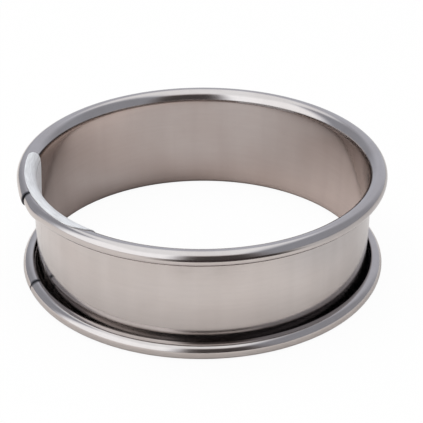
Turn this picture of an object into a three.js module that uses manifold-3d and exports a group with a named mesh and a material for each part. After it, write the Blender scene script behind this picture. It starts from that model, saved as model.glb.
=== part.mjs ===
// Baking ring: a strip of stainless sheet bent into a hoop, with both long edges rolled outward into open
// beads. The strip's two ends butt at a seam, and a strap spot-welded across the inside holds them together.
// Millimetres, +Z up. The origin is the centre of the circle that the lower bead stands on.

import * as THREE from "three";
import { mergeVertices } from "three/addons/utils/BufferGeometryUtils.js";
import Module from "manifold-3d";

const wasm = await Module();
wasm.setup();

// Driving dimensions of the band
const outerDiameter = 80; // across the beads
const height = 25; // between the flats of the two beads
const beadDiameter = 3.4; // outside of a rolled edge
const bandSheet = 0.4; // thickness of the strip
const beadReach = 3.9; // from the wall's inner face to a bead's widest point
const throatHeight = 2.6; // over which the wall turns out into a bead
const curlGap = 1.2; // from a bead's free edge to the wall
const restFlat = 0.5; // width of the flat that a bead stands on
const seamGap = 0.4; // between the strip's two ends
const seamBearing = 202; // degrees in plan, counter-clockwise from +X

// Driving dimensions of the strap and its welds
const strapSheet = 0.4; // thickness of the strap
const strapLength = 40; // along the wall
const strapFoot = 3; // height of the strap's lower edge
const strapGap = 0.2; // clearance between the strap and the band
const weldDiameter = 3;
const weldRows = 3; // welds in each upright row
const weldPitch = 6.5; // between the welds of a row
const weldOffset = 9; // along the wall, from the seam to a row
const weldHoleGap = 0.2; // clearance round a weld in the strap
const weldSeatGap = 0.05; // clearance between a weld and the wall

// Facet counts
const ringFacets = 72; // round the hoop
const quarterFacets = 4; // round a quarter of a bead
const tipFacets = 5; // from a bead's widest point to its free edge
const weldFacets = 20;

// Derived sizes
const quarter = Math.PI / 2;
const beadRadius = beadDiameter / 2;
const beadAxisRadius = outerDiameter / 2 - beadRadius;
const wallInside = outerDiameter / 2 - beadReach;
const throatReach = beadAxisRadius - wallInside;
const beadFlatTurn = Math.asin(restFlat / 2 / beadRadius); // half the flat, as a turn of the bead
const throatFlatTurn = Math.asin(restFlat / 2 / throatReach); // half the flat, as a turn of the throat
const beadAxisHeight = beadRadius * Math.cos(beadFlatTurn);
const throatAxisHeight = throatHeight * Math.cos(throatFlatTurn);
const curlEnd = Math.acos((wallInside + bandSheet + curlGap - beadAxisRadius) / beadRadius);
const strapOutside = wallInside - strapGap;
const strapInside = strapOutside - strapSheet;
const seamTurn = THREE.MathUtils.degToRad(seamBearing);
const outOfReach = outerDiameter; // a radius that lies well outside the hoop

// Points of an oval arc in the plane of radius and height, both ends included. Its axis lies over the line
// that the hoop stands on. Angle 0 points away from the hoop's axis, and a quarter turn points up.
function arc(axisHeight, reach, rise, from, to, facets) {
  const points = [];
  for (let step = 0; step <= facets; step += 1) {
    const angle = from + ((to - from) * step) / facets;
    const x = beadAxisRadius + reach * Math.cos(angle);
    const y = axisHeight + rise * Math.sin(angle);
    points.push(new THREE.Vector2(x, y));
  }
  return points;
}

// The same points at the other edge of the band, in the opposite order
function atOtherEdge(points) {
  return points.map((point) => new THREE.Vector2(point.x, height - point.y)).reverse();
}

// A closed outline in the plane of radius and height, given counter-clockwise, turned about +Z
function turned(outline) {
  const geometry = new THREE.LatheGeometry([...outline, outline[0]], ringFacets);
  geometry.rotateX(Math.PI / 2);
  return geometry;
}

// A plain ring between two radii, from one height to another
function shell(inside, outside, bottom, top) {
  return turned([
    new THREE.Vector2(inside, bottom),
    new THREE.Vector2(outside, bottom),
    new THREE.Vector2(outside, top),
    new THREE.Vector2(inside, top),
  ]);
}

function toSolid(geometry) {
  const bare = geometry.clone();
  bare.deleteAttribute("normal");
  bare.deleteAttribute("uv");
  const merged = mergeVertices(bare);
  return new wasm.Manifold(
    new wasm.Mesh({
      numProp: 3,
      vertProperties: new Float32Array(merged.attributes.position.array),
      triVerts: new Uint32Array(merged.index.array),
    }),
  );
}

function toGeometry(solid) {
  const mesh = solid.getMesh();
  const geometry = new THREE.BufferGeometry();
  geometry.setAttribute("position", new THREE.BufferAttribute(mesh.vertProperties, 3));
  geometry.setIndex(new THREE.BufferAttribute(mesh.triVerts, 1));
  geometry.computeVertexNormals();
  return geometry;
}

// Section of the band. The wall turns out into each bead through a throat, which is rounder than the bead.
// The face that lines the hoop runs on round the outside of the beads, and the wall's outer face runs on
// round their hollows.
function bandSection() {
  const hollowRadius = beadRadius - bandSheet;
  const innerReach = throatReach - bandSheet;
  const innerRise = throatHeight - bandSheet;
  const hollow = [
    ...arc(beadAxisHeight, hollowRadius, hollowRadius, curlEnd, 0, tipFacets),
    ...arc(beadAxisHeight, hollowRadius, hollowRadius, 0, -quarter, quarterFacets).slice(1, -1),
    ...arc(throatAxisHeight, innerReach, innerRise, -quarter, -Math.PI, quarterFacets),
  ];
  const outside = [
    ...arc(throatAxisHeight, throatReach, throatHeight, -Math.PI, -quarter - throatFlatTurn, quarterFacets),
    ...arc(beadAxisHeight, beadRadius, beadRadius, beadFlatTurn - quarter, 0, quarterFacets),
    ...arc(beadAxisHeight, beadRadius, beadRadius, 0, curlEnd, tipFacets).slice(1),
  ];
  return [...hollow, ...atOtherEdge(hollow), ...atOtherEdge(outside), ...outside];
}

// The slit between the strip's two ends, through the whole height on one side of the hoop
function seamSlit() {
  const radialDepth = outerDiameter / 2;
  const slit = new THREE.BoxGeometry(radialDepth, seamGap, height * 2);
  slit.translate(beadAxisRadius, 0, height / 2);
  slit.rotateZ(seamTurn);
  return toSolid(slit);
}

// Section of the strap: up the inside of the wall, then over the upper throat as far as the bead's flat
function strapSection() {
  const crown = quarter + throatFlatTurn;
  const axisHeight = height - throatAxisHeight;
  const farGap = strapGap + strapSheet;
  return [
    new THREE.Vector2(strapInside, strapFoot),
    new THREE.Vector2(strapOutside, strapFoot),
    ...arc(axisHeight, throatReach + strapGap, throatHeight + strapGap, Math.PI, crown, quarterFacets),
    ...arc(axisHeight, throatReach + farGap, throatHeight + farGap, crown, Math.PI, quarterFacets),
  ];
}

// The slice of the hoop that the strap covers, as an upright wedge centred on the seam
function strapWedge() {
  const halfAngle = strapLength / strapOutside / 2;
  const outline = new THREE.Shape();
  const start = seamTurn - halfAngle;
  const end = seamTurn + halfAngle;
  outline.moveTo(0, 0);
  outline.lineTo(outOfReach * Math.cos(start), outOfReach * Math.sin(start));
  outline.absarc(0, 0, outOfReach, start, end);
  outline.closePath();
  const wedge = new THREE.ExtrudeGeometry(outline, { depth: height * 2, bevelEnabled: false });
  return toSolid(wedge);
}

// A round bar that points out from the axis through one weld
function weldBar(place, diameter) {
  const bar = new THREE.CylinderGeometry(diameter / 2, diameter / 2, outOfReach, weldFacets);
  bar.rotateZ(Math.PI / 2);
  bar.translate(outOfReach / 2, 0, place.height);
  bar.rotateZ(place.turn);
  return toSolid(bar);
}

// Where the welds sit: an upright row on each side of the seam, centred on the strap's straight part
function weldPlaces() {
  const middle = (strapFoot + height - throatAxisHeight) / 2;
  const places = [];
  for (const side of [-1, 1]) {
    for (let row = 0; row < weldRows; row += 1) {
      places.push({
        turn: seamTurn + (side * weldOffset) / strapOutside,
        height: middle + (row - (weldRows - 1) / 2) * weldPitch,
      });
    }
  }
  return places;
}

const bandFinish = { color: 0xc1b9b6, roughness: 0.18, metalness: 1 };
const strapFinish = { color: 0xd6d6d8, roughness: 0.42, metalness: 1 };
const weldFinish = { color: 0xa39b95, roughness: 0.5, metalness: 1 };

const bakingRing = new THREE.Group();

function addPiece(name, solid, finish) {
  const mesh = new THREE.Mesh(toGeometry(solid), new THREE.MeshStandardMaterial(finish));
  mesh.name = name;
  bakingRing.add(mesh);
}

const places = weldPlaces();

const band = toSolid(turned(bandSection())).subtract(seamSlit());
addPiece("rolled_band", band, bandFinish);

let strap = toSolid(turned(strapSection())).intersect(strapWedge());
for (const place of places) {
  strap = strap.subtract(weldBar(place, weldDiameter + 2 * weldHoleGap));
}
addPiece("seam_strap", strap, strapFinish);

const weldShell = toSolid(shell(strapInside, wallInside - weldSeatGap, 0, height));
places.forEach((place, index) => {
  const weld = weldShell.intersect(weldBar(place, weldDiameter));
  addPiece(`spot_weld_${index + 1}`, weld, weldFinish);
});

export default bakingRing;
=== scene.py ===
# %% [markdown]
# A baking ring in stainless steel. It is one strip of sheet, bent into a hoop, with both long edges
# rolled outward into hollow beads. The strip's ends butt at a seam, and a matt strap, welded on the
# inside, ties them. The frame's solids give the overall size. This lesson remakes each sheet finely,
# because polished metal shows every facet, and then gives it a finish, a studio and a camera.

import bisect
import math

import bmesh
import bpy
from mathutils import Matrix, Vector


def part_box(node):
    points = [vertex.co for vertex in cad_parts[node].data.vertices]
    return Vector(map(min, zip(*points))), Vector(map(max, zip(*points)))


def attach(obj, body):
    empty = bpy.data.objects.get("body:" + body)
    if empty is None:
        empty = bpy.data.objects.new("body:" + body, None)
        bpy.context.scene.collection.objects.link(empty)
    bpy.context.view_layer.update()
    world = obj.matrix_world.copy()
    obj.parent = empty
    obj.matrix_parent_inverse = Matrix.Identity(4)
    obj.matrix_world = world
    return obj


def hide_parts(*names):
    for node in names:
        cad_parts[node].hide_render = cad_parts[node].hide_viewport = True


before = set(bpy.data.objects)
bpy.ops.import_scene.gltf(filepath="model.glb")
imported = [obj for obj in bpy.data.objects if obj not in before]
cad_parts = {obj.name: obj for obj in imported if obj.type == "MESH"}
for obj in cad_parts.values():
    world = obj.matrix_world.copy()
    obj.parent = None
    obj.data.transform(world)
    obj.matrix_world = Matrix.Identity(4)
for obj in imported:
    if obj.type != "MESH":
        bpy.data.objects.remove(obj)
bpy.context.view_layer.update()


def in_mm(*lengths):
    """Lengths in millimetres, for printing."""
    return [round(1000 * length, 2) for length in lengths]


print("nodes", sorted(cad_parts))

# %% [markdown]
# All sizes are in metres. The frame's boxes give the outside radius and the height. The sizes of the
# rolled edge can't be read from a box, so they are written here once. A real rolled edge is not a plain
# circle on a plain wall: the wall turns out into the bead through a rounder throat, the bead stops short
# of closing, and rolling draws the wall in a little next to each bead.

# %% Sizes of the ring
band_low, band_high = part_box("rolled_band")
OUTSIDE = band_high[0]
HEIGHT = band_high[2] - band_low[2]
SHEET = 0.0004  # thickness of the strip
BEAD_RADIUS = 0.0017  # outside of a rolled edge
BEAD_CIRCLE = OUTSIDE - BEAD_RADIUS  # the circle that the middles of the beads lie on
THROAT_REACH = 0.0023  # from that circle in to the wall
THROAT_RISE = 0.0026  # over which the wall turns out into a bead
WALL_INSIDE = BEAD_CIRCLE - THROAT_REACH
WALL_BULGE = 0.0003  # how far the wall's middle stands out
CURL_END = math.radians(111)  # from a bead's widest point round to its free edge
SEAM_BEARING = math.radians(202)  # counter-clockwise from +X
print("outside radius, height and wall inside radius in mm", in_mm(OUTSIDE, HEIGHT, WALL_INSIDE))

# %% [markdown]
# A sheet-metal section is easiest to draw as the line down the middle of the sheet. Each point of the
# line carries its sideways direction, so that the two skins lie half a thickness to either side. The
# lower curl is drawn once and mirrored for the upper one.

# %% Middle line of the band
TIP_STEPS = 14
QUARTER_STEPS = 12
WALL_STEPS = 18


def spaced(start, end, steps):
    """Even steps from one value to another, both included."""
    return [start + (end - start) * step / steps for step in range(steps + 1)]


def oval_line(axis_height, reach, rise, start, end, steps):
    """Points (radius, height, sideways) of an oval arc over the bead circle, sideways pointing off it."""
    line = []
    for angle in spaced(start, end, steps):
        across = math.cos(angle) / reach
        up = math.sin(angle) / rise
        length = math.hypot(across, up)
        radius = BEAD_CIRCLE + reach * math.cos(angle)
        height = axis_height + rise * math.sin(angle)
        line.append((radius, height, (across / length, up / length)))
    return line


def wall_bulge(height):
    """How far the wall stands out at a height, and how fast that changes."""
    half = HEIGHT / 2 - THROAT_RISE
    share = (height - HEIGHT / 2) / half
    bulge = WALL_BULGE * (1 - share**2) ** 2
    slope = -4 * WALL_BULGE * share * (1 - share**2) / half
    return bulge, slope


def wall_point(radius, height):
    """A point of the wall's line, sideways pointing at the hoop's axis."""
    bulge, slope = wall_bulge(height)
    length = math.hypot(1, slope)
    return radius + bulge, height, (-1 / length, slope / length)


def curl_line():
    """The lower curl, from its free edge to the foot of the wall."""
    middle = BEAD_RADIUS - SHEET / 2
    tip = oval_line(BEAD_RADIUS, middle, middle, CURL_END, 0, TIP_STEPS)
    under = oval_line(BEAD_RADIUS, middle, middle, 0, -math.pi / 2, QUARTER_STEPS)
    reach = THROAT_REACH - SHEET / 2
    rise = THROAT_RISE - SHEET / 2
    throat = oval_line(THROAT_RISE, reach, rise, -math.pi / 2, -math.pi, QUARTER_STEPS)
    return tip + under[1:] + throat[1:]


def band_line():
    """The strip from its lower free edge, up the wall and round to its upper free edge."""
    lower = curl_line()
    upper = [(r, HEIGHT - z, (across, -up)) for r, z, (across, up) in reversed(lower)]
    radius, low, _ = lower[-1]
    high = upper[0][1]
    heights = spaced(low, high, WALL_STEPS)[1:-1]
    return lower + [wall_point(radius, height) for height in heights] + upper


print("points down the strip", len(band_line()), "of which a curl takes", len(curl_line()))

# %% [markdown]
# Both sheets are made by one helper. It takes a grid of points with their sideways directions, lays a
# skin on each side and closes the rim with a shallow round, so that the result is one closed body like the
# real sheet, with edges that catch the light. A Solidify modifier would do nearly the same, but it leaves
# square edges, and its second skin has no points of its own that could be marked for the finish.

# %% Build a sheet from a grid
EDGE_STEPS = 4
EDGE_BULGE = 0.3  # how far a rim stands out, as a share of half the thickness


def rim_spots(row_count, column_count):
    """The grid's border in order, as (row, column, inner row, inner column)."""
    last_row = row_count - 1
    last_column = column_count - 1
    spots = [(0, column) for column in range(column_count)]
    spots += [(row, last_column) for row in range(1, row_count)]
    spots += [(last_row, column) for column in range(last_column - 1, -1, -1)]
    spots += [(row, 0) for row in range(last_row - 1, 0, -1)]
    with_inner = []
    for row, column in spots:
        inner_row = min(max(row, 1), last_row - 1)
        inner_column = min(max(column, 1), last_column - 1)
        with_inner.append((row, column, inner_row, inner_column))
    return with_inner


def add_skins(builder, grid, half):
    """Vertices and faces of the two skins."""
    front = [[builder.verts.new(point + half * side) for point, side in row] for row in grid]
    back = [[builder.verts.new(point - half * side) for point, side in row] for row in grid]
    for skin in (front, back):
        for near, far in zip(skin, skin[1:]):
            for column in range(len(near) - 1):
                builder.faces.new((near[column], far[column], far[column + 1], near[column + 1]))
    return front, back


def add_rim(builder, grid, half, front, back):
    """A rounded strip that joins the borders of the two skins."""
    ribs = []
    for row, column, inner_row, inner_column in rim_spots(len(grid), len(grid[0])):
        point, side = grid[row][column]
        outward = (point - grid[inner_row][inner_column][0]).normalized()
        rib = [front[row][column]]
        for angle in spaced(0.0, math.pi, EDGE_STEPS)[1:-1]:
            offset = half * (math.cos(angle) * side + EDGE_BULGE * math.sin(angle) * outward)
            rib.append(builder.verts.new(point + offset))
        rib.append(back[row][column])
        ribs.append(rib)
    for rib, after in zip(ribs, ribs[1:] + ribs[:1]):
        for step in range(EDGE_STEPS):
            builder.faces.new((rib[step], rib[step + 1], after[step + 1], after[step]))


def add_object(name, data):
    """An object in the scene that shows a mesh, a light or a camera."""
    made = bpy.data.objects.new(name, data)
    bpy.context.scene.collection.objects.link(made)
    return made


def finish_mesh(name, builder):
    """A smooth mesh object made from a bmesh, with its faces turned outward."""
    bmesh.ops.recalc_face_normals(builder, faces=builder.faces)
    mesh = bpy.data.meshes.new(name)
    builder.to_mesh(mesh)
    builder.free()
    mesh.shade_smooth()
    return add_object(name, mesh)


def sheet_piece(name, grid, thickness):
    """A closed sheet with two skins and a rounded rim."""
    builder = bmesh.new()
    half = thickness / 2
    front, back = add_skins(builder, grid, half)
    add_rim(builder, grid, half, front, back)
    return finish_mesh(name, builder)


print("a rim is", EDGE_STEPS, "faces wide")

# %% [markdown]
# The band is that line carried round the hoop. At the seam the strip's ends touch along the wall and
# stand a little apart at the beads, because a rolled edge springs open. Near both ends the upper bead
# also springs outward. All this is done by moving the grid's points, which keeps the band one clean sheet.

# %% Rolled band
HOOP_STEPS = 320
END_LOOP = 0.05  # distance of the extra loop at each end, in steps
WALL_SLIT = 0.00001
LOWER_SLIT = 0.00030
UPPER_SLIT = 0.00020
SPRING_REAR = 0.0004
SPRING_FRONT = 0.0005
SPRING_ARC = math.radians(6)
SPRING_FRONT_AT = 1.3 * SPRING_ARC  # the front end springs most this far from the seam
SPRING_FOOT = 0.7 * HEIGHT
SPRING_RISE = 0.2 * HEIGHT


def held(share):
    """A share held between 0 and 1."""
    return min(max(share, 0.0), 1.0)


def slit_width(height):
    """Width of the seam at a height: closed along the wall, open at the beads."""
    bead_slit = LOWER_SLIT if height < HEIGHT / 2 else UPPER_SLIT
    from_edge = min(height, HEIGHT - height)
    share = held((from_edge - 2 * BEAD_RADIUS) / BEAD_RADIUS)
    return bead_slit + (WALL_SLIT - bead_slit) * share


def spring(turn, height):
    """How far the upper bead stands out: at the strip's rear end, and a little way from its front end."""
    rear = SPRING_REAR * math.exp(-(((2 * math.pi - turn) / SPRING_ARC) ** 2))
    front = SPRING_FRONT * math.exp(-(((turn - SPRING_FRONT_AT) / SPRING_ARC) ** 2))
    up = held((height - SPRING_FOOT) / SPRING_RISE)
    return (rear + front) * up * up


def with_end_loops(steps):
    """Even shares from 0 to 1, with one more close to each end, so that the shading stays flat there."""
    close = END_LOOP / steps
    return [0.0, close, *spaced(0.0, 1.0, steps)[1:-1], 1 - close, 1.0]


def hoop_point(radius, height, side, bearing):
    """A point of the hoop and its sideways direction in space."""
    out = Vector((math.cos(bearing), math.sin(bearing), 0.0))
    up = Vector((0.0, 0.0, 1.0))
    return out * radius + up * height, out * side[0] + up * side[1]


def band_row(radius, height, side):
    """One row of the band, once round from end to end of the strip."""
    half_slit = (slit_width(height) / 2 + EDGE_BULGE * SHEET / 2) / radius
    row = []
    for share in with_end_loops(HOOP_STEPS):
        turn = half_slit + (2 * math.pi - 2 * half_slit) * share
        row.append(hoop_point(radius + spring(turn, height), height, side, SEAM_BEARING + turn))
    return row


band_grid = [band_row(*point) for point in band_line()]
band = sheet_piece("band", band_grid, SHEET)
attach(band, "root")
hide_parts("rolled_band")
print("band faces", len(band.data.polygons))

# %% [markdown]
# A buffing wheel can't reach into the curls or between the beads' sheared ends, so the metal there stays
# dull, and the shade that falls in there is painted into its colour as dark metal. The finish needs to
# know where that is. A number on each vertex says so: 1 on the ends, a little less on the skin inside a
# curl, and 0 where the throat meets the open wall. It is found from the distances to the bead's own circle
# and to the seam. At the left the painted shade fades out, because there the panel's light reaches into
# the curls.

# %% Mark the painted shade inside the curls
# how dark the painted shade makes the hollow skin inside a curl
HOLLOW_SHADE = 0.8
HOLLOW_RADIUS = BEAD_RADIUS - SHEET
SKIN_MARGIN = SHEET / 4
THROAT_SKIN = 0.93  # share of the throat's oval that holds its hollow side
THROAT_FADE = 0.0012
LIT_CURLS_X = -0.026  # left of this the curls get no painted shade, as the panel's light reaches in
LIT_CURLS_FADE = 0.02


def curl_shade_share(point):
    """Painted shade at a point: 1 on the beads' ends, less inside a curl, 0 on the outside of the beads
    and on the wall.
    """
    hollow = HOLLOW_SHADE * held((point.x - LIT_CURLS_X) / LIT_CURLS_FADE)
    radius = math.hypot(point.x, point.y)
    height = min(point.z, HEIGHT - point.z)
    from_seam = abs(point.y * math.cos(SEAM_BEARING) - point.x * math.sin(SEAM_BEARING))
    at_bead = point.x < 0 and height < 2 * BEAD_RADIUS
    if at_bead and from_seam < LOWER_SLIT / 2 + SKIN_MARGIN:
        return 1.0
    from_circle = math.hypot(radius - BEAD_CIRCLE, height - BEAD_RADIUS)
    if from_circle < HOLLOW_RADIUS + SKIN_MARGIN:
        return hollow
    oval = math.hypot((radius - BEAD_CIRCLE) / THROAT_REACH, (height - THROAT_RISE) / THROAT_RISE)
    under_wall = radius < BEAD_CIRCLE and oval < THROAT_SKIN
    if under_wall and height < THROAT_RISE:
        return hollow * held((THROAT_RISE - height) / THROAT_FADE)
    return 0.0


# The mark named curl carries painted shade, and more roughness, for the band's finish.
curl_shade_mark = band.data.attributes.new("curl", "FLOAT", "POINT")
curl_shade_values = [curl_shade_share(vertex.co) for vertex in band.data.vertices]
curl_shade_mark.data.foreach_set("value", curl_shade_values)
print("mean of the curl marks", round(sum(curl_shade_values) / len(curl_shade_values), 2))

# %% [markdown]
# The strap is a second, short strip on the inside. It lies on the wall, bends over the throat and hooks
# over the upper bead. At its rear end the bend is squarer than the band's, and at its front end it lies
# close. So its path is laid out first, as places along a line, with the squareness left open.

# %% Path of the strap
STRAP_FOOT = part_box("seam_strap")[0][2]
STRAP_SHEET = 0.0002
STRAP_GAP = 0.00004
STRAP_OFFSET = STRAP_GAP + STRAP_SHEET / 2
REAR_SQUARENESS = 2.4  # 2 bends like an oval, more is squarer
FRONT_SQUARENESS = 2.0
STRAP_WALL_STEPS = 60
STRAP_BEND_STEPS = 60


def strap_path(squareness):
    """Points (radius, height) up the wall, over the throat and down the outside of the bead."""
    foot = STRAP_FOOT + STRAP_SHEET / 2
    top = HEIGHT - THROAT_RISE
    heights = spaced(foot, top, STRAP_WALL_STEPS)[:-1]
    path = [wall_point(WALL_INSIDE - STRAP_OFFSET, height)[:2] for height in heights]
    for angle in spaced(0.0, math.pi / 2, STRAP_BEND_STEPS):
        inward = (THROAT_REACH + STRAP_OFFSET) * max(math.cos(angle), 0.0) ** (2 / squareness)
        up = (THROAT_RISE + STRAP_OFFSET) * math.sin(angle) ** (2 / squareness)
        path.append((BEAD_CIRCLE - inward, top + up))
    around = BEAD_RADIUS + STRAP_OFFSET
    for angle in spaced(math.pi / 2, 0.0, STRAP_BEND_STEPS)[1:]:
        outward = around * math.cos(angle)
        up = around * math.sin(angle)
        path.append((BEAD_CIRCLE + outward, HEIGHT - BEAD_RADIUS + up))
    return path


def path_lengths(path):
    """How far along the path each of its points lies."""
    lengths = [0.0]
    for before, after in zip(path, path[1:]):
        lengths.append(lengths[-1] + math.dist(before, after))
    return lengths


rear_lengths = path_lengths(strap_path(REAR_SQUARENESS))
STRAP_WALL = rear_lengths[STRAP_WALL_STEPS]
STRAP_CROWN = rear_lengths[STRAP_WALL_STEPS + STRAP_BEND_STEPS]
print("strap to its bend and to the bead's crown in mm", in_mm(STRAP_WALL, STRAP_CROWN))

# %% [markdown]
# Every column of the strap's grid follows its own path. The strap was welded on a little askew: towards
# its front end it reaches past the bead's crown, before it tapers off, and its rear end stops short. The
# corners are snipped round, and a grid gives round corners simply: each row is as long as the outline
# allows at its place.

# %% Seam strap
STRAP_LENGTH = 0.0382
STRAP_BEARING = math.radians(203.6)
STRAP_CORNER = 0.002
CORNER_STEPS = 8
WALL_ROWS = 14
BEND_ROWS = 22
STRAP_COLUMNS = 90
REAR_REACH = -0.0003  # past the bead's crown
FRONT_REACH = 0.0008
TIP_START = 0.87  # share of the length where the taper of the front end begins
TIP_DROP = 0.0009


def strap_place(path, lengths, along):
    """Radius, height and sideways direction at a distance along a path."""
    index = bisect.bisect_right(lengths, along, 1, len(lengths) - 1)
    r0, z0 = path[index - 1]
    r1, z1 = path[index]
    gap = lengths[index] - lengths[index - 1]
    share = (along - lengths[index - 1]) / gap
    side = (-(z1 - z0) / gap, (r1 - r0) / gap)
    return r0 + (r1 - r0) * share, z0 + (z1 - z0) * share, side


def strap_shares():
    """Where the rows lie, as shares of the strap's width: close together at the corners and the bend."""
    turns = spaced(0.0, math.pi / 2, CORNER_STEPS)
    corner = [STRAP_CORNER * (1 - math.cos(turn)) for turn in turns]
    wall = spaced(corner[-1], STRAP_WALL, WALL_ROWS)[1:-1]
    bend = spaced(STRAP_WALL, STRAP_CROWN - STRAP_CORNER, BEND_ROWS)[:-1]
    edge = [STRAP_CROWN - along for along in reversed(corner)]
    return [along / STRAP_CROWN for along in corner + wall + bend + edge]


def strap_width(ahead):
    """Length of the strap's path, from 0 at the rear end to 1 at the front end."""
    reach = REAR_REACH + (FRONT_REACH - REAR_REACH) * ahead
    tip = max((ahead - TIP_START) / (1 - TIP_START), 0.0)
    return STRAP_CROWN + reach - TIP_DROP * tip**2


def strap_column(ahead):
    """One column from foot to upper edge. Ahead is 0 at the strap's rear end and 1 at its front end."""
    path = strap_path(REAR_SQUARENESS + (FRONT_SQUARENESS - REAR_SQUARENESS) * ahead)
    lengths = path_lengths(path)
    width = strap_width(ahead)
    column = []
    for share in strap_shares():
        along = share * width
        into_corner = STRAP_CORNER - min(along, width - along, STRAP_CORNER)
        taken = STRAP_CORNER - math.sqrt(max(STRAP_CORNER**2 - into_corner**2, 0.0))
        half_turn = (STRAP_LENGTH / 2 - taken) / WALL_INSIDE
        bearing = STRAP_BEARING + half_turn * (2 * ahead - 1)
        column.append(hoop_point(*strap_place(path, lengths, along), bearing))
    return column


strap_columns = [strap_column(ahead) for ahead in with_end_loops(STRAP_COLUMNS)]
strap = sheet_piece("strap", list(zip(*strap_columns)), STRAP_SHEET)
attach(strap, "root")
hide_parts("seam_strap")
print("strap faces", len(strap.data.polygons))

# %% [markdown]
# A spot weld leaves a shallow dished button where the electrode pressed: a low ring with a hollow
# middle, never quite even. Each is a small closed body of rings of points, set on the strap's face at
# the place of its CAD solid. The points carry their share of the radius, for the heat colours.

# %% Spot welds
WELD_COUNT = 6
WELD_RADIUS = 0.0015
WELD_SEGMENTS = 36
WELD_SHARES = (0.14, 0.28, 0.42, 0.55, 0.66, 0.75, 0.83, 0.9, 0.96, 1.0)
WELD_CREST = 0.00009  # height of the ring
CREST_AT = 0.78  # place of the ring, as a share of the radius
CREST_SPREAD = 0.17
MIDDLE_LIFT = 0.22  # height of the middle, as a share of the ring's
STRAP_FACE = WALL_INSIDE - STRAP_GAP - STRAP_SHEET


def weld_lift(share, angle, number):
    """Height of the button over the strap's face."""
    wide_waves = 0.18 * math.sin(2 * angle + number)
    short_waves = 0.1 * math.sin(5 * angle + 2 * number)
    crest = math.exp(-(((share - CREST_AT) / CREST_SPREAD) ** 2))
    return WELD_CREST * (MIDDLE_LIFT * (1 - share) + crest * (1 + wide_waves + short_waves))


def weld_piece(number):
    """A dished button at the place of one weld of the frame."""
    low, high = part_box("spot_weld_%d" % number)
    middle = [(a + b) / 2 for a, b in zip(low, high)]
    bearing = math.atan2(middle[1], middle[0])
    face = STRAP_FACE + wall_bulge(middle[2])[0]
    builder = bmesh.new()
    shares = []

    def add(share, angle, depth):
        turn = bearing + WELD_RADIUS * share * math.cos(angle) / face
        height = middle[2] + WELD_RADIUS * share * math.sin(angle)
        shares.append(share)
        return builder.verts.new((depth * math.cos(turn), depth * math.sin(turn), height))

    angles = spaced(0.0, 2 * math.pi, WELD_SEGMENTS)[:-1]
    top = add(0.0, 0.0, face - weld_lift(0.0, 0.0, number))
    rings = [[add(s, a, face - weld_lift(s, a, number)) for a in angles] for s in WELD_SHARES]
    rings.append([add(1.0, a, face + STRAP_SHEET) for a in angles])
    foot = add(0.0, 0.0, face + STRAP_SHEET)
    for step in range(WELD_SEGMENTS):
        after = (step + 1) % WELD_SEGMENTS
        builder.faces.new((top, rings[0][step], rings[0][after]))
        for near, far in zip(rings, rings[1:]):
            builder.faces.new((near[step], far[step], far[after], near[after]))
        builder.faces.new((foot, rings[-1][after], rings[-1][step]))
    weld = finish_mesh("weld_%d" % number, builder)
    mark = weld.data.attributes.new("weld_ring", "FLOAT", "POINT")
    mark.data.foreach_set("value", shares)
    return weld


welds = []
for number in range(1, WELD_COUNT + 1):
    weld = weld_piece(number)
    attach(weld, "root")
    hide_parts("spot_weld_%d" % number)
    welds.append(weld)
print("welds", len(welds), "with", len(welds[0].data.polygons), "faces each")

# %% [markdown]
# Finishes are trees of shader nodes. Blender can draw them by hand in its node editor, and a script does
# the same with long lines that add a node, set it and link it. A few small helpers keep those short: each
# one adds a node, feeds its inputs and gives back the output that the next one takes.

# %% Helpers for node trees


def place(tree, kind, **settings):
    """A new node with some of its settings changed."""
    node = tree.nodes.new(kind)
    for name, value in settings.items():
        setattr(node, name, value)
    return node


def put(tree, target, value):
    """Feed a socket from another socket, or set it to a plain value."""
    if isinstance(value, bpy.types.NodeSocket):
        tree.links.new(value, target)
    else:
        target.default_value = value


def calc(tree, operation, first, second=0.0):
    """The result of a Math node."""
    node = place(tree, "ShaderNodeMath", operation=operation)
    put(tree, node.inputs[0], first)
    put(tree, node.inputs[1], second)
    return node.outputs[0]


def remap(tree, value, from_low, from_high, to_low=0.0, to_high=1.0):
    """A value moved smoothly from one range to another, held at both ends."""
    node = place(tree, "ShaderNodeMapRange", interpolation_type="SMOOTHSTEP")
    for name, setting in (
        ("Value", value),
        ("From Min", from_low),
        ("From Max", from_high),
        ("To Min", to_low),
        ("To Max", to_high),
    ):
        put(tree, node.inputs[name], setting)
    return node.outputs["Result"]


def window(tree, value, low, high, soft):
    """1 between two values and 0 outside them, with soft edges."""
    enter = remap(tree, value, low - soft, low + soft)
    leave = remap(tree, value, high - soft, high + soft, 1.0, 0.0)
    return calc(tree, "MULTIPLY", enter, leave)


def between(tree, share, first, second):
    """A number between two others, by a share."""
    node = place(tree, "ShaderNodeMix", data_type="FLOAT")
    put(tree, node.inputs[0], share)
    put(tree, node.inputs[2], first)
    put(tree, node.inputs[3], second)
    return node.outputs[0]


def blend(tree, share, first, second):
    """Two colours mixed by a share."""
    node = place(tree, "ShaderNodeMix", data_type="RGBA")
    put(tree, node.inputs[0], share)
    put(tree, node.inputs[6], first)
    put(tree, node.inputs[7], second)
    return node.outputs[2]


# %% [markdown]
# Three finishes follow, and they share their marks: the grain that rolling and polishing leave along
# the strip, a cloudy haze from handling, and hairline scratches. Each mark is a node group, which is a
# small tree with its own inputs and outputs. It is built once and placed in every finish with its own
# values, so that a change to the mark reaches all of them.

# %% Helpers for node groups


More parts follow.
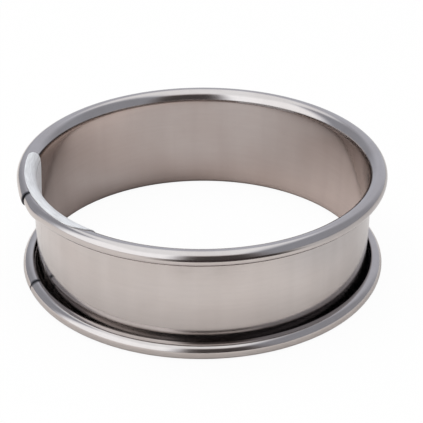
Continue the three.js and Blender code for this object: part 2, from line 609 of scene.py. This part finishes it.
def new_group(name, inputs, output):
    """An empty node group with number inputs and one number output."""
    group = bpy.data.node_groups.new(name, "ShaderNodeTree")
    for label, value in inputs:
        socket = group.interface.new_socket(name=label, in_out="INPUT", socket_type="NodeSocketFloat")
        socket.default_value = value
    group.interface.new_socket(name=output, in_out="OUTPUT", socket_type="NodeSocketFloat")
    start = group.nodes.new("NodeGroupInput")
    end = group.nodes.new("NodeGroupOutput")
    return group, start.outputs, end.inputs


def use_group(tree, group, **values):
    """A group placed in a tree with its own values."""
    node = place(tree, "ShaderNodeGroup", node_tree=group)
    for name, value in values.items():
        node.inputs[name].default_value = value
    return node.outputs[0]


# %% [markdown]
# Grain follows the hoop. Noise that is stretched along the hoop gives it, and there is a trick that
# needs no unwrapping: x and y change slowly along the hoop, while height and radius change only across
# it, so the first two get a low scale and the last two a high one.

# %% Grain along the hoop


def axes(tree, coordinate):
    """The x, y and z of a texture coordinate."""
    node = place(tree, "ShaderNodeSeparateXYZ")
    put(tree, node.inputs[0], place(tree, "ShaderNodeTexCoord").outputs[coordinate])
    return tuple(node.outputs)


def from_axis(tree, x, y):
    """Distance from the hoop's axis."""
    squares = [calc(tree, "MULTIPLY", side, side) for side in (x, y)]
    return calc(tree, "SQRT", calc(tree, "ADD", *squares))


def hoop_grain():
    """Streaks along the hoop, from 0 to 1. Along and Across are streaks per metre."""
    tree, given, out = new_group("hoop_grain", [("Along", 120.0), ("Across", 3000.0)], "Grain")
    x, y, z = axes(tree, "Object")
    stretched = place(tree, "ShaderNodeCombineXYZ")
    put(tree, stretched.inputs[0], calc(tree, "MULTIPLY", x, given["Along"]))
    put(tree, stretched.inputs[1], calc(tree, "MULTIPLY", y, given["Along"]))
    put(tree, stretched.inputs[2], calc(tree, "MULTIPLY", z, given["Across"]))
    noise = place(tree, "ShaderNodeTexNoise", noise_dimensions="4D")
    put(tree, noise.inputs["Vector"], stretched.outputs[0])
    put(tree, noise.inputs["W"], calc(tree, "MULTIPLY", from_axis(tree, x, y), given["Across"]))
    put(tree, noise.inputs["Scale"], 1.0)
    put(tree, noise.inputs["Detail"], 3.0)
    put(tree, noise.inputs["Roughness"], 0.6)
    put(tree, out["Grain"], noise.outputs[0])
    return tree


HOOP_GRAIN = hoop_grain()
print("group", HOOP_GRAIN.name)

# %% [markdown]
# Haze is what cloths, fingers and steam leave: soft clouds a centimetre wide. Hairlines are the finest
# scratches. The places where a cloud pattern crosses its middle value are thin wandering lines, so a
# narrow band round that value makes a cheap and convincing hairline.

# %% Haze and hairlines
HAZE_RANGE = (0.36, 0.66)  # values of the noise that become clear metal and full haze
LINE_SQUEEZE = (1.0, 1.0, 3.0)
LINE_TILT = (0.5, 0.35, 0.0)


def handling_haze():
    """Soft clouds, from 0 to 1. Scale is clouds per metre."""
    tree, given, out = new_group("handling_haze", [("Scale", 90.0)], "Haze")
    noise = place(tree, "ShaderNodeTexNoise")
    put(tree, noise.inputs["Vector"], place(tree, "ShaderNodeTexCoord").outputs["Object"])
    put(tree, noise.inputs["Scale"], given["Scale"])
    put(tree, noise.inputs["Detail"], 3.0)
    put(tree, out["Haze"], remap(tree, noise.outputs[0], *HAZE_RANGE))
    return tree


def hairlines():
    """Thin lines, from 0 to 1. Scale is lines per metre, Width a share of their spacing."""
    tree, given, out = new_group("hairlines", [("Scale", 400.0), ("Width", 0.02)], "Line")
    squeeze = place(tree, "ShaderNodeMapping")
    put(tree, squeeze.inputs["Scale"], LINE_SQUEEZE)
    put(tree, squeeze.inputs["Rotation"], LINE_TILT)
    put(tree, squeeze.inputs["Vector"], place(tree, "ShaderNodeTexCoord").outputs["Object"])
    noise = place(tree, "ShaderNodeTexNoise")
    put(tree, noise.inputs["Vector"], squeeze.outputs[0])
    put(tree, noise.inputs["Scale"], given["Scale"])
    put(tree, noise.inputs["Detail"], 1.0)
    from_middle = calc(tree, "ABSOLUTE", calc(tree, "SUBTRACT", noise.outputs[0], 0.5))
    put(tree, out["Line"], remap(tree, from_middle, 0.0, given["Width"], 1.0, 0.0))
    return tree


HANDLING_HAZE = handling_haze()
HAIRLINES = hairlines()
print("groups", HANDLING_HAZE.name, HAIRLINES.name)

# %% [markdown]
# Stainless steel has no paint: its look is what it mirrors, tinted a little warm. So the base colour is
# the metal's own, apart from shade that the band and strap finishes paint into it, the metallic value is
# full unless a finish says otherwise, and most of the life is in the roughness and in a very small bump.
# One helper starts such a finish, and another joins several height marks into one bump.

# %% Start of a steel finish


def steel(name, metallic=1.0):
    """A metal material, its node tree and its shader."""
    material = bpy.data.materials.new(name)
    material.use_nodes = True
    shader = material.node_tree.nodes["Principled BSDF"]
    shader.inputs["Metallic"].default_value = metallic
    return material, material.node_tree, shader


def bump(tree, shader, layers):
    """Height marks on a shader's normal, as (mark, depth in metres)."""
    normal = None
    for mark, depth in layers:
        node = place(tree, "ShaderNodeBump")
        node.inputs["Strength"].default_value = 1.0
        node.inputs["Distance"].default_value = depth
        put(tree, node.inputs["Height"], mark)
        if normal is not None:
            put(tree, node.inputs["Normal"], normal)
        normal = node.outputs[0]
    put(tree, shader.inputs["Normal"], normal)


# %% [markdown]
# The band is bright rolled sheet, polished after rolling. Haze lifts its roughness in clouds, grain
# streaks it, and the bending rollers left faint upright bands, which are the same grain with its two
# scales swapped. By the number on their vertices the curls' insides get painted shade in their colour,
# and more roughness.

# %% Band finish
BAND_STEEL = (0.590, 0.545, 0.525, 1.0)
BAND_WARM = (0.560, 0.505, 0.480, 1.0)
BAND_STREAK = (0.40, 0.37, 0.36, 1.0)
BAND_ROLLED = (0.40, 0.36, 0.34, 1.0)
# painted shade for the inside of the curls
CURL_SHADE = (0.08, 0.078, 0.086, 1.0)


def band_finish():
    """Polished steel with clouds and streaks, rougher and with painted shade inside the curls."""
    material, tree, shader = steel("band_steel")
    grain = use_group(tree, HOOP_GRAIN, Along=110.0, Across=2200.0)
    fine = use_group(tree, HOOP_GRAIN, Along=240.0, Across=9000.0)
    haze = use_group(tree, HANDLING_HAZE, Scale=85.0)
    line = use_group(tree, HAIRLINES, Scale=330.0, Width=0.012)
    rolled = use_group(tree, HOOP_GRAIN, Along=190.0, Across=12.0)
    curl = place(tree, "ShaderNodeAttribute", attribute_name="curl").outputs["Fac"]
    color = blend(tree, calc(tree, "MULTIPLY", haze, 0.6), BAND_STEEL, BAND_WARM)
    color = blend(tree, remap(tree, grain, 0.35, 0.7, 0.0, 0.10), color, BAND_STREAK)
    color = blend(tree, remap(tree, rolled, 0.35, 0.65, 0.0, 0.16), color, BAND_ROLLED)
    # Painted shade: the curl mark darkens the colour inside the curls.
    put(tree, shader.inputs["Base Color"], blend(tree, curl, color, CURL_SHADE))
    rough = remap(tree, haze, 0.0, 1.0, 0.10, 0.14)
    rough = calc(tree, "ADD", rough, remap(tree, fine, 0.3, 0.7, 0.0, 0.03))
    rough = calc(tree, "ADD", rough, calc(tree, "MULTIPLY", line, 0.02))
    rough = calc(tree, "ADD", rough, calc(tree, "MULTIPLY", curl, 0.12))
    put(tree, shader.inputs["Roughness"], rough)
    bump(tree, shader, [(haze, 0.000012), (grain, 0.0000012), (fine, 0.0000004)])
    return material


band.data.materials.append(band_finish())
print("band finish", band.data.materials[0].name)

# %% [markdown]
# The strap was cut from matt sheet and never polished. It scatters the light, so it looks almost white
# from above, with short brush strokes along it and a few darker smears. Along the crease where it bends
# off the wall, shade is painted into its colour in patches. It is only half metallic: a rough metal would
# still show the dark parts of the studio, and the other half of the shader scatters light evenly, as the
# fine marks on matt sheet do.

# %% Strap finish
STRAP_METALLIC = 0.5
STRAP_STEEL = (0.88, 0.885, 0.90, 1.0)
STRAP_SMEAR = (0.80, 0.80, 0.81, 1.0)
STRAP_STROKE = (0.62, 0.62, 0.63, 1.0)
# colour of the hairline scratches, and of the painted shade along the strap's bend
STRAP_SCRATCH_AND_SHADE = (0.30, 0.29, 0.29, 1.0)
# heights of the band of painted shade along the strap's bend
CREASE_SHADE = (HEIGHT - 0.0020, HEIGHT - 0.0018, 0.0001)  # from, to and softness of its edges


def strap_finish():
    """Matt brushed steel with painted shade along its bend."""
    material, tree, shader = steel("strap_steel", STRAP_METALLIC)
    grain = use_group(tree, HOOP_GRAIN, Along=300.0, Across=5200.0)
    haze = use_group(tree, HANDLING_HAZE, Scale=150.0)
    line = use_group(tree, HAIRLINES, Scale=520.0, Width=0.02)
    height = axes(tree, "Object")[2]
    color = blend(tree, calc(tree, "MULTIPLY", haze, 0.35), STRAP_STEEL, STRAP_SMEAR)
    color = blend(tree, remap(tree, grain, 0.35, 0.65, 0.0, 0.60), color, STRAP_STROKE)
    patchy_shade = remap(tree, haze, 0.0, 1.0, 0.35, 0.95)
    # Painted shade along the bend, broken into patches by the haze, joined with the real hairline
    # scratches.
    crease_shade = calc(tree, "MULTIPLY", window(tree, height, *CREASE_SHADE), patchy_shade)
    scratch_and_shade = calc(tree, "MAXIMUM", calc(tree, "MULTIPLY", line, 0.08), crease_shade)
    put(tree, shader.inputs["Base Color"], blend(tree, scratch_and_shade, color, STRAP_SCRATCH_AND_SHADE))
    rough = remap(tree, grain, 0.3, 0.7, 0.70, 0.82)
    rough = calc(tree, "ADD", rough, calc(tree, "MULTIPLY", line, -0.08))
    put(tree, shader.inputs["Roughness"], rough)
    bump(tree, shader, [(grain, 0.000006), (line, -0.000004)])
    return material


strap.data.materials.append(strap_finish())
print("strap finish", strap.data.materials[0].name)

# %% [markdown]
# A weld's heat leaves rings of oxide colour: grey where the electrode sat, then straw, then a faint
# blue at the rim. A colour ramp over the share of the radius paints them, with haze to break them up.

# %% Weld finish
WELD_GREY = (0.42, 0.40, 0.38, 1.0)
WELD_PALE = (0.50, 0.46, 0.41, 1.0)
WELD_STRAW = (0.56, 0.46, 0.33, 1.0)
WELD_BLUE = (0.46, 0.47, 0.52, 1.0)


def weld_finish():
    """Dull steel with rings of heat colour."""
    material, tree, shader = steel("weld_steel")
    ring = place(tree, "ShaderNodeAttribute", attribute_name="weld_ring").outputs["Fac"]
    haze = use_group(tree, HANDLING_HAZE, Scale=900.0)
    grain = use_group(tree, HOOP_GRAIN, Along=500.0, Across=4200.0)
    ragged = calc(tree, "ADD", ring, calc(tree, "MULTIPLY", haze, 0.12))
    ramp = place(tree, "ShaderNodeValToRGB")
    put(tree, ramp.inputs[0], ragged)
    stops = ramp.color_ramp.elements
    stops[0].color = WELD_GREY
    stops[1].color = WELD_BLUE
    stops.new(0.55).color = WELD_PALE
    stops.new(0.82).color = WELD_STRAW
    put(tree, shader.inputs["Base Color"], ramp.outputs[0])
    put(tree, shader.inputs["Roughness"], remap(tree, haze, 0.0, 1.0, 0.36, 0.55))
    bump(tree, shader, [(haze, 0.000015), (grain, 0.000004)])
    return material


weld_steel = weld_finish()
for weld in welds:
    weld.data.materials.append(weld_steel)
print("weld finish on", len(welds), "welds")

# %% [markdown]
# The studio is a grey tent with a softbox overhead, a bright panel at the front left and an opening in
# front for the lens. Polished steel is only what it mirrors: the softbox and the panel draw the white
# lines on the beads, and the opening draws the dark one. The world makes the tent, by direction. Each
# part of the tent is a window: from, to and how soft its edges are.

# %% Tent
TENT_SOFTBOX = 1.26
TENT_PANEL = 1.52
TENT_BACK = 0.68
TENT_SIDE = 0.42
TENT_OPENING = 0.08
TENT_LIT = (0.965, 1.01, 1.05, 1.0)
TENT_SHADE = (0.93, 0.99, 1.12, 1.0)
TENT_DARK = (1.05, 0.96, 0.96, 1.0)
PANEL_WINDOW = (-92.0, -13.0, 11.0)  # degrees from the front, positive at the right
OPENING_WINDOW = (-13.0, 33.0, 11.0)
BACK_WINDOW = (-22.0, 50.0, 18.0)  # degrees from the back, positive at the right
SOFTBOX_ACROSS = (-0.70, 0.40, 0.18)  # distance to the right at a height of 1
SOFTBOX_DEEP = (-0.68, 0.80, 0.25)  # distance to the back at a height of 1
LOWEST_UP = 0.01  # keeps the softbox's distances finite


def degrees_round(tree, x, y):
    """Degrees round from the y axis, positive towards x."""
    return calc(tree, "DEGREES", calc(tree, "ARCTAN2", x, y))


def tent(tree):
    """Brightness and colour of the tent by direction."""
    x, y, z = axes(tree, "Generated")
    from_front = degrees_round(tree, x, calc(tree, "MULTIPLY", y, -1.0))
    from_back = degrees_round(tree, x, y)
    wall = between(tree, window(tree, from_back, *BACK_WINDOW), TENT_SIDE, TENT_BACK)
    panel = window(tree, from_front, *PANEL_WINDOW)
    opening = window(tree, from_front, *OPENING_WINDOW)
    up = calc(tree, "MAXIMUM", z, LOWEST_UP)
    across = window(tree, calc(tree, "DIVIDE", x, up), *SOFTBOX_ACROSS)
    deep = window(tree, calc(tree, "DIVIDE", y, up), *SOFTBOX_DEEP)
    softbox = calc(tree, "MULTIPLY", across, deep)
    lit = calc(tree, "MAXIMUM", panel, softbox)
    level = between(tree, opening, between(tree, panel, wall, TENT_PANEL), TENT_OPENING)
    color = blend(tree, lit, blend(tree, opening, TENT_SHADE, TENT_DARK), TENT_LIT)
    return between(tree, softbox, level, TENT_SOFTBOX), color


print("tent from", TENT_OPENING, "in the opening to", TENT_PANEL, "in the panel")

# %% [markdown]
# Only mirrors see the tent. The camera sees plain white behind the ring, and matt surfaces get an even
# light. A Light Path node tells these apart, because it says what kind of ray is looking.

# %% World
WHITE = (1.0, 1.0, 1.0, 1.0)
TENT_DIFFUSE = 0.62  # brightness of the even light


def lookers(tree):
    """Whether the camera looks at a point, and whether a mirror or a glass does."""
    path = place(tree, "ShaderNodeLightPath")
    mirror = calc(tree, "MAXIMUM", path.outputs["Is Glossy Ray"], path.outputs["Is Transmission Ray"])
    return path.outputs["Is Camera Ray"], mirror


def studio():
    """The world round the ring."""
    world = bpy.data.worlds.new("studio")
    world.use_nodes = True
    tree = world.node_tree
    tree.nodes.clear()
    camera_looks, mirror_looks = lookers(tree)
    tent_level, tent_color = tent(tree)
    level = between(tree, mirror_looks, TENT_DIFFUSE, tent_level)
    background = place(tree, "ShaderNodeBackground")
    put(tree, background.inputs["Strength"], between(tree, camera_looks, level, 1.0))
    put(tree, background.inputs["Color"], blend(tree, mirror_looks, WHITE, tent_color))
    put(tree, place(tree, "ShaderNodeOutputWorld").inputs["Surface"], background.outputs[0])
    return world


bpy.context.scene.world = studio()
print("world", bpy.context.scene.world.name)

# %% [markdown]
# The floor is white paper. Mirrors see it in painted colours: light in front, greyer at the right, a
# painted shadow of the ring inside it, and painted shade in front where the photographer and camera stand.
# These are soft steps from one colour to the next, along x or outward from the ring's axis, so a few ramps
# over the floor's own coordinates paint them.

# %% Colours of the floor
PAPER_LIGHT = (0.92, 0.90, 0.89, 1.0)
PAPER_RIGHT = (0.72, 0.72, 0.73, 1.0)
# painted shadow of the ring on the paper inside it: its middle, and the wall's foot at the left and right
SHADOW_MIDDLE = (0.72, 0.68, 0.67, 1.0)
SHADOW_FOOT_LEFT = (0.42, 0.36, 0.34, 1.0)
SHADOW_FOOT_RIGHT = (0.86, 0.76, 0.72, 1.0)
# painted shade in front, where the photographer and camera stand
FRONT_SHADE = (0.06, 0.05, 0.05, 1.0)
RIGHT_RAMP = (0.035, 0.065)  # along x, from the light paper to the grey at the right
FRONT_SHADE_RAMP = (0.079, 0.083)  # outward, from the paper to the painted front shade
FRONT_SHADE_WINDOW = (-20.0, 45.0, 12.0)  # degrees from the front, as in the tent
FOOT_SIDES = (-0.020, 0.026)  # along x, from the foot's left colour to its right one
FOOT_RAMP = (0.004, 0.034)  # outward, from the ring's middle to the wall's foot
LEFT_SIDES = (-0.012, 0.0)  # along x, from the left to the middle of the ring
LEFT_SHIFT = 0.010  # how much closer to the wall the foot's colour keeps at the left


def mirrored_paper(tree):
    """The floor's colour as mirrors see it, with painted shadow inside the ring and painted shade in
    front.
    """
    x, y = axes(tree, "Object")[:2]
    radius = from_axis(tree, x, y)
    from_front = degrees_round(tree, x, calc(tree, "MULTIPLY", y, -1.0))
    color = blend(tree, remap(tree, x, *RIGHT_RAMP), PAPER_LIGHT, PAPER_RIGHT)
    far_off = remap(tree, radius, *FRONT_SHADE_RAMP)
    # Painted shade in front, where the photographer and camera stand.
    front_shade = calc(tree, "MULTIPLY", far_off, window(tree, from_front, *FRONT_SHADE_WINDOW))
    color = blend(tree, front_shade, color, FRONT_SHADE)
    # Painted shadow inside the ring: darkest at the wall's foot on the left, lighter at the right, where
    # the panel's light falls.
    foot = blend(tree, remap(tree, x, *FOOT_SIDES), SHADOW_FOOT_LEFT, SHADOW_FOOT_RIGHT)
    outward = calc(tree, "SUBTRACT", radius, remap(tree, x, *LEFT_SIDES, LEFT_SHIFT, 0.0))
    inside = blend(tree, remap(tree, outward, *FOOT_RAMP), SHADOW_MIDDLE, foot)
    return blend(tree, calc(tree, "LESS_THAN", radius, BEAD_CIRCLE), color, inside)


print("paper as far as", *in_mm(FRONT_SHADE_RAMP[0]), "mm from the axis, then the table")

# %% [markdown]
# For the camera most of the floor glows plain white, as in a cut-out product picture, and the rest is
# lit, so that the ring's soft shadow stays. One material does all this, because it also asks what kind
# of ray is looking.

# %% Floor
FLOOR_SIDE = 4.0
FLOOR_GLOW = 0.95
PAPER_WHITE = (0.92, 0.92, 0.92, 1.0)


def paper():
    """Paper that is lit, and glows for the camera."""
    material = bpy.data.materials.new("floor_paper")
    material.use_nodes = True
    tree = material.node_tree
    tree.nodes.clear()
    camera_looks, mirror_looks = lookers(tree)
    lit = place(tree, "ShaderNodeBsdfDiffuse")
    put(tree, lit.inputs["Color"], blend(tree, mirror_looks, PAPER_WHITE, mirrored_paper(tree)))
    glow = place(tree, "ShaderNodeEmission")
    mix = place(tree, "ShaderNodeMixShader")
    put(tree, mix.inputs["Fac"], calc(tree, "MULTIPLY", camera_looks, FLOOR_GLOW))
    put(tree, mix.inputs[1], lit.outputs[0])
    put(tree, mix.inputs[2], glow.outputs[0])
    put(tree, place(tree, "ShaderNodeOutputMaterial").inputs["Surface"], mix.outputs[0])
    return material


edge = FLOOR_SIDE / 2
floor_corners = [(-edge, -edge, 0), (edge, -edge, 0), (edge, edge, 0), (-edge, edge, 0)]
floor_mesh = bpy.data.meshes.new("floor")
floor_mesh.from_pydata(floor_corners, [], [(0, 1, 2, 3)])
floor_mesh.materials.append(paper())
floor = add_object("floor", floor_mesh)
print("floor", FLOOR_SIDE, "m wide, glowing", FLOOR_GLOW, "for the camera")

# %% [markdown]
# One large soft lamp hangs over the ring and makes the soft shadow under it. Mirrors see the tent's
# softbox instead of the lamp itself, because its square outline would draw hard lines on the beads that
# a tent doesn't show.

# %% Overhead lamp
LAMP_SIDE = 0.5
LAMP_POWER = 1.3
LAMP_PLACE = (-0.05, 0.0, 0.45)

lamp_data = bpy.data.lights.new("overhead", "AREA")
lamp_data.shape = "RECTANGLE"
lamp_data.size = LAMP_SIDE
lamp_data.size_y = LAMP_SIDE
lamp_data.energy = LAMP_POWER
lamp = add_object("overhead", lamp_data)
lamp.location = LAMP_PLACE
lamp.visible_glossy = False
print("lamp", LAMP_POWER, "W")

# %% [markdown]
# The camera stands where the photographer stood. The angle, the distance and the lens were found by
# matching the outlines of both beads, so they are plain numbers here.

# %% Camera
CAMERA_ELEVATION = math.radians(29.06)
CAMERA_DISTANCE = 3.743 * 2 * OUTSIDE
CAMERA_LENS = 115.26
SENSOR_WIDTH = 36.0
NEAR_CLIP = 0.01
AIM = Vector((0.0020, 0.0, HEIGHT / 2 - 0.00026))

camera_data = bpy.data.cameras.new("photo_camera")
camera_data.lens = CAMERA_LENS
camera_data.sensor_width = SENSOR_WIDTH
camera_data.clip_start = NEAR_CLIP
camera = add_object("photo_camera", camera_data)
level_away = CAMERA_DISTANCE * math.cos(CAMERA_ELEVATION)
camera.location = (0.0, -level_away, HEIGHT / 2 + CAMERA_DISTANCE * math.sin(CAMERA_ELEVATION))
camera.rotation_euler = (AIM - camera.location).to_track_quat("-Z", "Y").to_euler()
bpy.context.scene.camera = camera
bpy.context.scene.view_settings.view_transform = "Standard"
print("camera", *in_mm(CAMERA_DISTANCE), "mm away")
